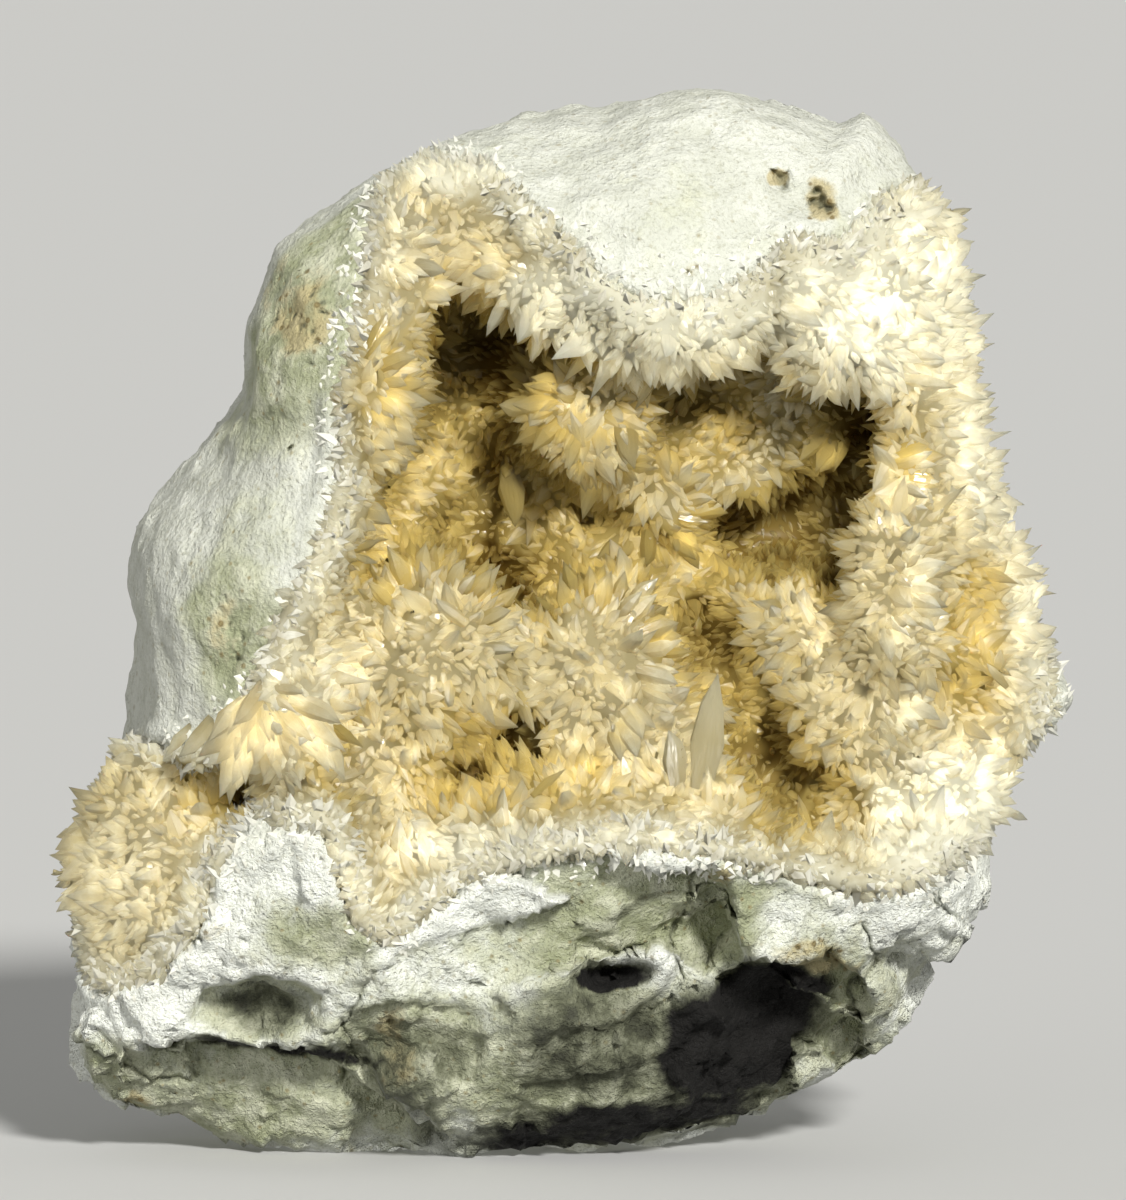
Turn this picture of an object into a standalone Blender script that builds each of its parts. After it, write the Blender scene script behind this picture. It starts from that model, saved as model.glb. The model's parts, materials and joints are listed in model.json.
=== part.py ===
"""A colemanite geode: a nodule of pale host rock, broken open, whose hollow is lined with one crust of crystals.

X runs to the right and Z up as one faces the hollow, and Y runs away from the viewer, into the rock.
The origin is the middle of the underside of the bounding box. Places and sizes below are in millimetres.
"""

import math

import bmesh
import bpy
import numpy as np
from mathutils import Vector, noise

MM = 0.001
GAP = 0.35  # between the rock and the crust that it backs
CRUST_STANDS_OUT = 1.5  # how far the crust stands out of the broken rock's face

# The nodule: how far it bulges in front of and behind its widest section, and how boxy it is
FRONT_BULGE = 60
BACK_BULGE = 62
BOXINESS = 2.35
NODULE_MIDDLE = (0, 0, 106)  # inside the widest section
# The widest section's outline (x, z), from the top round by the right
NODULE_OUTLINE = [
    (25, 211.5), (41, 209), (54, 203.5), (60, 206), (67, 198.5), (71, 186), (74, 172),
    (77, 158), (78, 143), (81, 130), (86, 118), (90, 105), (96, 95.5), (102, 90.5), (100.5, 86),
    (94, 82), (87, 75), (85.5, 61), (86, 49.5), (80.5, 38.5), (73, 34.5), (68, 27), (61, 19.5),
    (47, 10), (27, 1), (7, -4), (-17, -5), (-44, -1), (-73, 4), (-94, 12), (-99, 20.5),
    (-97, 37), (-94, 51), (-93, 64), (-91, 74), (-88, 80), (-87, 91), (-86, 101),
    (-87, 113), (-85.5, 122.5), (-80, 131), (-71, 141), (-64, 151), (-64, 167.5), (-57.5, 181),
    (-46, 189), (-37, 194), (-24, 200.5), (-11, 206), (7, 208),
]

# The rock's relief: broad lumps and finer chips, as height and size
LUMPS = (3.0, 26)
CHIPS = (1.6, 11)
# Niches in the rock's face: middle (x, z), half width, half height, tilt in degrees, depth
NICHES = {
    "scoop": (-61, 30, 12, 6, 4, 6),
    "long niche": (14, 48, 15, 4, 24, 5),
    "slot": (10.5, 39.5, 8, 3, 3, 6),
    "block face": (-37, 24, 9, 7, 0, 3),
    "right notch": (69, 39, 8, 4, 10, 6),
    "left face hollow": (-53, 92, 10, 18, 0, 3),
    "left face pit": (-55, 165, 5, 7, -20, 2.5),
    "top pit left": (41, 194, 2.5, 2, 0, 4),
    "top pit right": (49, 190, 3.5, 4, 20, 4),
}
# Ledges: each overhangs what lies on its right hand, from start to end (x, z): overhang, and how far it tells
LEDGES = {
    "left slab": ((-86, 23), (-43, 21), 7, 18),
    "block side": ((-45, 27), (-20, -1), 8, 16),
    "block brow": ((-44, 28), (-16, 27), 3, 10),
    "undercut left": ((0, 36), (29, 54), 8, 26),
    "undercut brow": ((27, 57), (38, 39), 11, 30),
    "undercut right": ((36, 41), (68, 19), 11, 26),
    "right step": ((66, 40), (88, 36), 6, 12),
}

# The hollows in the rock. Each runs straight back from the front to its middle, then rounds off to its depth.
# "rim" is the edge of its rock (x, z) and "mouth" the edge of the open space within its lining. Each space is
# cast as rays from "eye", which lies in front of the mouth.
MAIN_HOLLOW = {
    "middle": (12, -20, 114),
    "depth": 44,
    "rim": [
        (-37, 193), (-28, 200), (-15, 197), (-7, 190), (3, 181), (8, 175), (16, 172), (27, 171),
        (38, 178), (44, 184), (53, 182), (61, 190), (70, 195), (84, 192), (98, 166), (106, 130),
        (112, 104), (103, 97), (90, 78), (84, 63), (69, 56), (58, 54), (42, 59), (27, 63),
        (11, 65), (-1, 63), (-13, 60), (-24, 53), (-35, 45), (-42, 50), (-46, 66), (-66, 82),
        (-62, 96), (-57, 108), (-50, 120), (-45, 136), (-44, 152), (-40, 172),
    ],
    "mouth": [
        (-26, 180), (-20, 189), (-14, 192), (-6, 184), (2, 174), (10, 165), (20, 162), (30, 162),
        (38, 168), (44, 175), (52, 173), (60, 183), (70, 197), (86, 192), (100, 166), (108, 130),
        (114, 106), (98, 92), (86, 78), (78, 68), (62, 61), (42, 64), (27, 67), (11, 69),
        (-1, 67), (-13, 62), (-23, 55), (-34, 48), (-40, 53), (-44, 68), (-47, 80), (-46, 94),
        (-48, 108), (-45, 120), (-42, 134), (-34, 144), (-32, 152), (-29, 168),
    ],
    "eye": (14, -105, 118),
    "cells": 20,
}
LEFT_POCKET = {
    "middle": (-80, -26, 72),
    "depth": 24,
    "rim": [
        (-112, 40), (-112, 90), (-94, 84), (-76, 83), (-60, 86), (-46, 84), (-40, 74), (-46, 68),
        (-60, 68), (-67, 60), (-71, 48), (-80, 37), (-90, 33), (-100, 34),
    ],
    "mouth": [
        (-114, 42), (-114, 88), (-94, 81), (-76, 79), (-62, 80), (-53, 79), (-49, 75), (-51, 70),
        (-59, 70), (-69, 62), (-73, 50), (-81, 40), (-90, 36), (-102, 37),
    ],
    "eye": (-82, -75, 62),
    "cells": 12,
}
CRUST = 8  # thickness of the lining behind the open space
HOLLOW_RINGS = (0, 0.45, 0.75, 0.93)  # shares of the depth
MOUTH_AT = -95  # where a hollow's cutter ends, in front of the rock
RAY_STEP = 0.4
LONGEST_RAY = 150

# The balls of crystals that swell from the lining: middle (x, y, z) and radius
BALLS = {
    "left front": (-28, -22, 100, 18.5),
    "centre": (6, -20, 94, 17.5),
    "centre low": (14, -24, 78, 13),
    "centre right": (21, -22, 89, 9),
    "hanging": (5, -14, 148, 14),
    "top left": (-6, -28, 178, 12.5),
    "under dome left": (8, -34, 165, 9),
    "under dome": (23, -36, 163, 9),
    "under dome right": (36, -34, 170, 8),
    "upper right": (54, -24, 168, 16),
    "middle right": (38, 0, 139, 10),
    "middle": (19, 0, 131, 12),
    "middle low": (27, 4, 117, 8),
    "right column": (46, -6, 104, 14),
    "right column low": (56, -14, 92, 14),
    "right edge top": (65, -28, 122, 10),
    "right edge": (64, -28, 105, 10),
    "right foot": (62, -22, 80, 11),
    "right shelf": (80, -18, 78, 10),
    "rim top": (74, -14, 176, 12),
    "rim upper": (76, -12, 154, 14),
    "rim": (74, -16, 138, 12),
    "rim middle": (89, -8, 118, 10),
    "rim low": (94, -6, 102, 9),
    "rim foot": (90, -8, 88, 9),
    "floor left": (-16, -34, 63, 12),
    "floor left front": (-30, -38, 52, 10),
    "floor middle": (0, -36, 69, 11),
    "floor right": (26, -36, 69, 9),
    "foot of left ball": (-37, -28, 67, 10),
    "below left ball": (-34, -26, 80, 9),
    "back upper": (44, -2, 151, 11),
    "back left": (-20, 12, 147, 12),
    "back left low": (-30, 4, 133, 11),
    "back middle": (-10, 6, 134, 10),
    "back low": (0, 8, 117, 10),
    "back right": (25, 6, 106, 9),
    "back right low": (42, 2, 76, 12),
    "left wall top": (-34, -32, 184, 9),
    "left wall upper": (-38, -32, 167, 9),
    "left wall middle": (-42, -30, 149, 9),
    "left wall": (-49, -30, 128, 9),
    "left wall low": (-54, -30, 107, 9),
    "left wall foot": (-54, -34, 88, 8),
    "lobe": (-86, -18, 67, 16),
    "lobe low": (-84, -21, 53, 14),
    "lobe edge": (-92, -10, 60, 13),
    "lobe foot": (-75, -26, 49, 8),
}

# Crystals standing alone: foot and tip (x, y, z), and width
SPEARS = {
    "blade": ((27, -28, 70), (29.5, -32, 98), 8),
    "hanging blade": ((-12, 2, 137), (-10, -13, 125), 7),
    "left wall fan": ((-56, -38, 92), (-45, -47, 78), 8),
    "left wall spear": ((-59, -38, 88), (-63, -48, 72), 5),
    "left wall tooth": ((-35, -26, 179), (-23, -38, 177), 5.5),
    "right tooth": ((62, -28, 86), (74, -34, 78), 5),
    "centre tooth": ((14, -28, 93), (27, -34, 92), 5),
    "tablet": ((66, -20, 127), (79, -26, 124), 4),
}

# The crystals that cover the lining: length as a share of the width of the face that each grows from
SHORT_CRYSTAL = 0.7
LONG_CRYSTAL = 2.0
LONGEST_CRYSTAL = 10
SHAFT_SHARE = 0.1  # of the faces grow a shaft under the point
LONGEST_EDGE = 11.5  # of a lining face, before it is cut in two
UNEVENNESS = 0.6  # of the lining
LEAN = 0.3
INWARD_LEAN = 0.6  # of the crystals beside the rock
LEAST_FACE = 5  # square millimetres
MOST_FACE = 200
SHORTEST_EDGE = 1

ROCK_TRIANGLES = 2750
SEED = 11

ROCK_SIDE, CRYSTAL_SIDE = 0, 1


def clear_scene():
    for obj in list(bpy.data.objects):
        bpy.data.objects.remove(obj, do_unlink=True)


def material(name, colour, roughness):
    made = bpy.data.materials.new(name)
    made.use_nodes = True
    shader = made.node_tree.nodes["Principled BSDF"]
    shader.inputs["Base Color"].default_value = (*colour, 1)
    shader.inputs["Roughness"].default_value = roughness
    shader.inputs["Metallic"].default_value = 0
    return made


def object_of(name, bm, helper=False):
    """A scene object that holds this bmesh. A helper is a cutter or a guide, and no part of the object."""
    mesh = bpy.data.meshes.new(name)
    bm.to_mesh(mesh)
    bm.free()
    obj = bpy.data.objects.new(name, mesh)
    bpy.context.scene.collection.objects.link(obj)
    obj.hide_render = helper
    obj.display_type = "WIRE" if helper else "TEXTURED"
    return obj


def mesh_copy(obj):
    bm = bmesh.new()
    bm.from_mesh(obj.data)
    return bm


def settle(obj):
    """Applies the object's modifiers."""
    bpy.context.view_layer.update()
    graph = bpy.context.evaluated_depsgraph_get()
    mesh = bpy.data.meshes.new_from_object(obj.evaluated_get(graph))
    obj.modifiers.clear()
    obj.data = mesh


def boolean(obj, other, operation):
    step = obj.modifiers.new(operation.lower(), "BOOLEAN")
    step.operation = operation
    step.solver = "EXACT"
    step.object = other
    settle(obj)


def coordinates(bm):
    return np.array([vert.co for vert in bm.verts])


def place(bm, points):
    for vert, point in zip(bm.verts, points):
        vert.co = point


def outline_radius(middle, outline, angle):
    """How far an outline (x, z) lies from its middle in the direction of each angle."""
    offsets = np.array(outline, float) - (middle[0], middle[2])
    angles = np.arctan2(offsets[:, 1], offsets[:, 0])
    order = np.argsort(angles)
    radii = np.hypot(offsets[:, 0], offsets[:, 1])
    return np.interp(angle, angles[order], radii[order], period=2 * math.pi)


def niche_depth(x, z, niche):
    """How deep this niche is at a point of the rock's face."""
    middle_x, middle_z, half_width, half_height, tilt, depth = niche
    turn = math.radians(tilt)
    along = (x - middle_x) * math.cos(turn) + (z - middle_z) * math.sin(turn)
    up = (z - middle_z) * math.cos(turn) - (x - middle_x) * math.sin(turn)
    reach = math.hypot(along / half_width, up / half_height)
    return depth * max(0, 1 - reach**3)


def ledge_depth(x, z, ledge):
    """How far the rock lies back under this ledge."""
    start, end, overhang, reach = ledge
    run = Vector(end) - Vector(start)
    side = Vector((run.y, -run.x)).normalized()
    offset = Vector((x, z)) - Vector(start)
    share = offset.dot(run) / run.length_squared
    under = offset.dot(side)
    if not 0 < share < 1 or not 0 < under < reach:
        return 0
    ends = min(1, 6 * share, 6 * (1 - share))
    return overhang * ends * (1 - under / reach)


def relief(point, normal):
    """How a point of the rock moves: lumps and chips along its normal, niches and ledges straight back."""
    height, size = LUMPS
    swell = height * noise.noise(point / size + Vector((3.1, 0, 7.7)))
    height, size = CHIPS
    cells = noise.voronoi(point / size)[0]
    swell += height * (cells[1] - cells[0] - 0.5)
    faces_front = max(0, min(1, -2 * normal.y))
    back = sum(niche_depth(point.x, point.z, niche) for niche in NICHES.values())
    back += max(ledge_depth(point.x, point.z, ledge) for ledge in LEDGES.values())
    return normal * swell + Vector((0, back * faces_front, 0))


def nodule():
    """The whole nodule before it was broken open: a rounded block with relief, and a flat foot."""
    bm = bmesh.new()
    bmesh.ops.create_icosphere(bm, subdivisions=7, radius=1)
    directions = coordinates(bm)
    across = np.hypot(directions[:, 0], directions[:, 2])
    along = np.abs(directions[:, 1])
    size = (across**BOXINESS + along**BOXINESS) ** (-1 / BOXINESS)
    angle = np.arctan2(directions[:, 2], directions[:, 0])
    radius = outline_radius(NODULE_MIDDLE, NODULE_OUTLINE, angle) * across * size
    bulge = np.where(directions[:, 1] < 0, -FRONT_BULGE, BACK_BULGE) * along * size
    points = np.stack([radius * np.cos(angle), bulge, radius * np.sin(angle)], axis=1)
    place(bm, points + NODULE_MIDDLE)
    bm.normal_update()
    moves = [relief(vert.co, vert.normal) for vert in bm.verts]
    for vert, move in zip(bm.verts, moves):
        vert.co += move
    obj = object_of("nodule", bm, helper=True)
    fewer = obj.modifiers.new("fewer_faces", "DECIMATE")
    fewer.ratio = ROCK_TRIANGLES / len(obj.data.polygons)
    settle(obj)
    flatten_foot(obj)
    return obj


def flatten_foot(obj):
    bm = mesh_copy(obj)
    geometry = bm.verts[:] + bm.edges[:] + bm.faces[:]
    bmesh.ops.bisect_plane(bm, geom=geometry, plane_co=(0, 0, 0), plane_no=(0, 0, 1), clear_inner=True)
    bmesh.ops.edgeloop_fill(bm, edges=[edge for edge in bm.edges if edge.is_boundary])
    bmesh.ops.recalc_face_normals(bm, faces=bm.faces[:])
    bm.to_mesh(obj.data)
    bm.free()


def shrink_at(depth_share):
    """The size of a hollow's section at this share of its depth."""
    return (1 - depth_share**BOXINESS) ** (1 / BOXINESS)


def drawn_in(outline, inset):
    """An outline (x, z), listed clockwise, whose sides have come in by this much."""
    corners = [Vector(corner) for corner in outline]
    moved = []
    for before, corner, after in zip(corners[-1:] + corners, corners, corners[1:] + corners[:1]):
        sides = [(corner - before).normalized(), (after - corner).normalized()]
        inward_ways = [Vector((side.y, -side.x)) for side in sides]
        middle_way = (inward_ways[0] + inward_ways[1]).normalized()
        moved.append(corner + middle_way * inset / middle_way.dot(inward_ways[0]))
    return moved


def hollow(name, shape, inset):
    """The closed cutter of a hollow, from the front back, its wall drawn in by `inset`."""
    middle = Vector(shape["middle"])
    bm = bmesh.new()
    ring = bmesh.ops.create_circle(bm, segments=len(shape["rim"]), radius=1, cap_ends=True)["verts"]
    rim = drawn_in(shape["rim"], inset)
    offsets = [Vector((corner.x - middle.x, 0, corner.y - middle.z)) for corner in rim]
    for vert, offset in zip(ring, offsets):
        vert.co = middle + offset
        vert.co.y = MOUTH_AT
    cap = bm.faces[:]
    for share in HOLLOW_RINGS:
        made = bmesh.ops.extrude_face_region(bm, geom=cap)["geom"]
        bmesh.ops.delete(bm, geom=cap, context="FACES_ONLY") if share else None
        cap = [item for item in made if isinstance(item, bmesh.types.BMFace)]
        for vert, offset in zip(cap[0].verts, offsets):
            vert.co = middle + offset * shrink_at(share)
            vert.co.y = middle.y + (shape["depth"] - inset) * share
    bmesh.ops.recalc_face_normals(bm, faces=bm.faces[:])
    return object_of(name, bm, helper=True)


def open_space(points, shape):
    """Whether each point lies in the hollow, clear of its lining and its balls."""
    offsets = points - shape["middle"]
    across = np.hypot(offsets[..., 0], offsets[..., 2])
    angle = np.arctan2(offsets[..., 2], offsets[..., 0])
    radius = outline_radius(shape["middle"], shape["mouth"], angle)
    depth = np.maximum(offsets[..., 1], 0) / (shape["depth"] - CRUST)
    clear = (across / radius) ** BOXINESS + depth**BOXINESS < 1
    for x, y, z, radius in BALLS.values():
        clear &= np.linalg.norm(points - (x, y, z), axis=-1) > radius
    return clear


def lining_space(name, shape):
    """The open space of a hollow: every ray from its eye runs until it meets the lining or a ball."""
    bm = bmesh.new()
    bmesh.ops.create_cube(bm, size=2)
    bmesh.ops.subdivide_edges(bm, edges=bm.edges[:], cuts=shape["cells"] - 1, use_grid_fill=True)
    for vert in bm.verts:
        vert.co.normalize()
    steps = np.arange(RAY_STEP, LONGEST_RAY, RAY_STEP)
    eye = np.array(shape["eye"])
    directions = coordinates(bm)
    reached = [steps[np.argmin(open_space(eye + steps[:, None] * way, shape))] for way in directions]
    place(bm, eye + directions * np.array(reached)[:, None])
    for _ in range(2):
        long_edges = [edge for edge in bm.edges if edge.calc_length() > LONGEST_EDGE]
        bmesh.ops.subdivide_edges(bm, edges=long_edges, cuts=1)
    random = np.random.default_rng(SEED)
    place(bm, coordinates(bm) + random.uniform(-UNEVENNESS, UNEVENNESS, (len(bm.verts), 3)))
    obj = object_of(name, bm, helper=True)
    mark_faces(obj, CRYSTAL_SIDE)
    return obj


def mark_faces(obj, side):
    for face in obj.data.polygons:
        face.material_index = side


def drawn_out(obj, by, middle):
    """A copy of a closed shape, drawn out by this much away from its middle."""
    bm = mesh_copy(obj)
    for vert in bm.verts:
        vert.co += (vert.co - Vector(middle)).normalized() * by
    return object_of(obj.name + "_drawn_out", bm, helper=True)


def raise_point(bm, face, rise):
    tip = face.calc_center_median() + rise
    made = bmesh.ops.poke(bm, faces=[face])
    made["verts"][0].co = tip


def inward(point):
    """The way from the rim toward the middle of the hollow that this point belongs to."""
    for shape in (LEFT_POCKET, MAIN_HOLLOW):
        way = Vector(shape["middle"]) - point
        reach = outline_radius(shape["middle"], shape["rim"], math.atan2(-way.z, -way.x))
        way.y = 0
        if way.length < reach + CRUST_STANDS_OUT:
            break
    return way.normalized()


def grow_crystals(obj):
    """Turns each face of the lining into one crystal. Those beside the rock lean away from it."""
    random = np.random.default_rng(SEED)
    bm = mesh_copy(obj)
    lining = [
        face
        for face in bm.faces
        if face.material_index == CRYSTAL_SIDE
        and len(face.verts) < 6
        and min(edge.calc_length() for edge in face.edges) > SHORTEST_EDGE
        and LEAST_FACE < face.calc_area() < MOST_FACE
    ]
    crystals = []
    for face in lining:
        draw = random.random()
        lean = Vector(random.normal(size=3)) * LEAN
        if any(near.material_index == ROCK_SIDE for vert in face.verts for near in vert.link_faces):
            lean = inward(face.calc_center_median()) * INWARD_LEAN
        axis = (face.normal + lean).normalized()
        width = min(math.sqrt(face.calc_area()), 1.5 * min(edge.calc_length() for edge in face.edges))
        length = width * (SHORT_CRYSTAL + (LONG_CRYSTAL - SHORT_CRYSTAL) * draw**2)
        crystals.append((face, axis * min(length, LONGEST_CRYSTAL), random.random() < SHAFT_SHARE))
    for face, rise, has_shaft in crystals:
        if has_shaft:
            face = bmesh.ops.extrude_discrete_faces(bm, faces=[face])["faces"][0]
            middle = face.calc_center_median()
            for vert in face.verts:
                vert.co += rise * 0.45 + (middle - vert.co) * 0.12
            rise = rise * 0.65
        raise_point(bm, face, rise)
    bm.to_mesh(obj.data)
    bm.free()


def spear(name, foot, tip, width):
    """A flat six-sided blade that is widest in its middle and tapers to its tip."""
    foot, tip = Vector(foot), Vector(tip)
    axis = tip - foot
    turn = axis.to_track_quat("Z", "Y").to_matrix()
    bm = bmesh.new()
    ring = bmesh.ops.create_circle(bm, segments=6, radius=width / 2, cap_ends=True)["verts"]
    bmesh.ops.scale(bm, vec=(1, 0.55, 1), verts=ring)
    made = bmesh.ops.extrude_face_region(bm, geom=bm.faces[:])["geom"]
    upper = [item for item in made if isinstance(item, bmesh.types.BMVert)]
    bmesh.ops.scale(bm, vec=(0.7, 0.7, 1), verts=ring)
    bmesh.ops.translate(bm, vec=(0, 0, axis.length * 0.45), verts=upper)
    bmesh.ops.recalc_face_normals(bm, faces=bm.faces[:])
    top = next(face for face in bm.faces if all(vert in upper for vert in face.verts))
    raise_point(bm, top, Vector((0, 0, axis.length * 0.55)))
    for vert in bm.verts:
        vert.co = foot + turn @ vert.co
    return object_of(name, bm, helper=True)


def finish(obj, shade):
    """Gives a node its one material and splits its faces into triangles, without slivers folded on themselves."""
    bm = mesh_copy(obj)
    bmesh.ops.triangulate(bm, faces=bm.faces[:])
    twins = {}
    for face in bm.faces:
        twins.setdefault(frozenset(face.verts), []).append(face)
    folded = [face for faces in twins.values() if len(faces) > 1 for face in faces]
    bmesh.ops.delete(bm, geom=folded, context="FACES")
    bm.to_mesh(obj.data)
    bm.free()
    mark_faces(obj, 0)
    obj.data.materials.clear()
    obj.data.materials.append(shade)


def stand_on_origin(nodes):
    """Brings the nodes from millimetres to metres, with the origin in the middle of the box's underside."""
    points = np.array([vert.co for node in nodes for vert in node.data.vertices])
    middle = (points.min(axis=0) + points.max(axis=0)) / 2
    for node in nodes:
        for vert in node.data.vertices:
            vert.co = (vert.co - Vector((middle[0], middle[1], 0))) * MM


def main():
    clear_scene()
    body = nodule()
    shapes = {"main_hollow": MAIN_HOLLOW, "left_pocket": LEFT_POCKET}

    rock = object_of("host_rock", mesh_copy(body))
    for name, shape in shapes.items():
        boolean(rock, hollow(name, shape, 0), "DIFFERENCE")

    face = drawn_out(body, CRUST_STANDS_OUT, NODULE_MIDDLE)
    mark_faces(face, CRYSTAL_SIDE)
    crust = object_of("crystal_crust", mesh_copy(hollow("main_fill", MAIN_HOLLOW, GAP)))
    boolean(crust, hollow("pocket_fill", LEFT_POCKET, GAP), "UNION")
    boolean(crust, face, "INTERSECT")
    for name, shape in shapes.items():
        boolean(crust, lining_space(name + "_space", shape), "DIFFERENCE")
    for name, measures in SPEARS.items():
        boolean(crust, spear(name, *measures), "UNION")
    grow_crystals(crust)

    finish(rock, material("host_rock", (0.70, 0.71, 0.62), 0.85))
    finish(crust, material("colemanite", (0.86, 0.72, 0.42), 0.3))
    stand_on_origin([rock, crust])


main()
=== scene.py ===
"""The looks of the colemanite geode: craggy pale host rock, and a hollow lined with honey-coloured crystals.

Places in the lists below are as one faces the hollow: x to the right and z up, in millimetres, on the upright
plane through the middle of the geode. What is placed there lies on the surface that shows at that place.
"""

import json
import math

import bmesh
import bpy
import numpy as np
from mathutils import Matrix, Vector, noise
from mathutils.bvhtree import BVHTree
from mathutils.kdtree import KDTree

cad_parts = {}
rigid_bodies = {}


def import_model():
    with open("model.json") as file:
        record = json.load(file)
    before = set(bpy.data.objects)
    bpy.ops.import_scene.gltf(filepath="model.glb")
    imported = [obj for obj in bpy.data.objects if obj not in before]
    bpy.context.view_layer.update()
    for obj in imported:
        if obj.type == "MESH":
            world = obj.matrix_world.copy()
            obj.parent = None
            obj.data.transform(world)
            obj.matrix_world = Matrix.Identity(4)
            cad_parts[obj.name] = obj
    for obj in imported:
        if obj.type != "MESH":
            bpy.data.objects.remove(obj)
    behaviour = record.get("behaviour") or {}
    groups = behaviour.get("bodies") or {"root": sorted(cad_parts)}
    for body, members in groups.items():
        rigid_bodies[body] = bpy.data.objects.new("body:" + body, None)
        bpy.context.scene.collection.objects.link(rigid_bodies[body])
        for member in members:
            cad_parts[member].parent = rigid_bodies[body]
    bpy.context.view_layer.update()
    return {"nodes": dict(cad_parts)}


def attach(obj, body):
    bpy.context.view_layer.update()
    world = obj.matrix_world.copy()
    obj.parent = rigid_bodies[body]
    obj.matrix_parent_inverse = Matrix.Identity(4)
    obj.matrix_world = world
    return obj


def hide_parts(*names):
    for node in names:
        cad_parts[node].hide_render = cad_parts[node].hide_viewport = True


MM = 0.001
SEED = 5
SIDEWAYS = 0.97 * MM  # of the lists' middle from the frame's
LOOKING_DOWN = math.radians(4)  # onto the geode
EYE_DISTANCE = 2.0
EYE_TARGET = (0.0006, 0, 0.1092)
LENS = 300

ROCK_VOXEL = 1.48 * MM
CRUST_VOXEL = 1.7 * MM
CRUST_SUNK = 0.8 * MM  # how far the crystals' ground lies under the smoothed crust
RIM_RAISED = 0.3 * MM  # and how far it stands out beside the rock
ROCK_SWELL = 1.3 * MM  # how far the rock stands out over its joint with the crust

CRYSTAL_SPACING = 1.5 * MM
GRAIN_SPACING = 1.4 * MM  # of the sugary grains along the hollow's edge
ROSETTE_SPACING = 9.5 * MM
SHORTEST_CRYSTAL = 3.5  # in millimetres
RIM_REACH = 5 * MM  # how far from the rock the crust still carries sugary grains
DEEPEST_SHOWN = 0.98  # of the crystals' depth, from 0 in the open to 1 where nothing is open
MIDDLE_ZONE = (-8, 42)  # where the middle piece of crystals starts and ends, on the lists' plane

# Colours
HONEY = ((0.288, 0.243, 0.124), (0.33, 0.284, 0.154))
CRYSTAL_TIP = (0.44, 0.405, 0.285)
MILKY_WHITE = (0.575, 0.56, 0.44)
SUGAR_WHITE = (0.82, 0.82, 0.73)
# Amber and deep amber are painted shade, for crystals in less open places
PAINTED_SHADE_AMBER = (0.32, 0.24, 0.07)
PAINTED_DEEP_SHADE_AMBER = (0.15, 0.09, 0.015)
ROCK_WHITE = ((0.585, 0.595, 0.51), (0.69, 0.70, 0.625))
BROKEN_WHITE = (0.96, 0.98, 0.90)
GREY_GREEN = ((0.34, 0.36, 0.22), (0.60, 0.61, 0.46))
OCHRE_STAIN = (0.48, 0.40, 0.20)
RUST = (0.16, 0.11, 0.035)
BROWN_SPECK = (0.30, 0.25, 0.12)
CRUMB_SHADE = (0.45, 0.43, 0.30)
# Colours of painted shade under the brows and in the pits and cracks
PAINTED_SHADE_COLOUR = (0.10, 0.105, 0.065)
DEEP_SHADE = (0.004, 0.003, 0.004)

# Dull grey-green places on the rock: middle (x, z), half width, half height, tilt in degrees, amount
DULL = [
    (-51, 163, 12, 30, -25, 0.9),
    (-62, 120, 8, 16, -20, 0.5),
    (-65, 103, 9, 17, 0, 0.9),
    (-25, 202, 16, 4, 22, 0.5),
    (-47, 44, 11, 6, 0, 0.6),
    (-62, 27, 12, 5, 0, 0.7),
    (-52, 10, 40, 10, -4, 0.8),
    (-88, 12, 16, 9, -25, 0.8),
    (-27, 19, 18, 12, 0, 0.7),
    (2, 24, 30, 11, 0, 0.7),
    (8, 12, 38, 12, 0, 0.95),
    (31, 46, 9, 11, 0, 1.0),
    (14, 48, 15, 4, 24, 0.7),
    (59, 28, 20, 15, 20, 0.6),
]
# Ochre stains, in the same way
OCHRE = [
    (-51, 165, 6, 8, -20, 0.9),
    (-58, 172, 5, 6, 0, 0.5),
    (-66, 101, 4, 9, 0, 0.5),
    (-33, 21, 4, 7, 10, 0.8),
    (-70, 44, 5, 3, 0, 0.5),
    (42, 192, 2.5, 1.6, 0, 1.0),
    (50, 188, 3, 4, 20, 1.0),
    (31, 55, 3, 2, 0, 0.8),
    (50, 38, 8, 4, 0, 0.8),
    (24, 174, 2, 2, 0, 0.6),
    (-86, 8, 4, 3, 0, 0.7),
]
# Places under the brows painted dark as shade, in the same way
PAINTED_SHADE_PATCHES = [
    (34, 22, 17, 12, 30, 1.8),
    (43, 33, 10, 4, -10, 1.4),
    (10.5, 35, 6.5, 2.2, 3, 1.6),
    (10, 4, 32, 5, 8, 1.2),
    (8, 21, 22, 14, 0, 0.78),
    (-29, 19, 13, 9, 0, 0.62),
    (-57, 11, 24, 6, -4, 0.3),
    (-60, 28.5, 9, 4.5, 0, 0.8),
    (-52, 19.3, 26, 1.6, -6, 1.0),
    (-30, 9, 4, 12, 40, 0.6),
    (78, 37, 6, 3, 10, 0.6),
    (14, 48.5, 9, 1.3, 24, 0.6),
]
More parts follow.
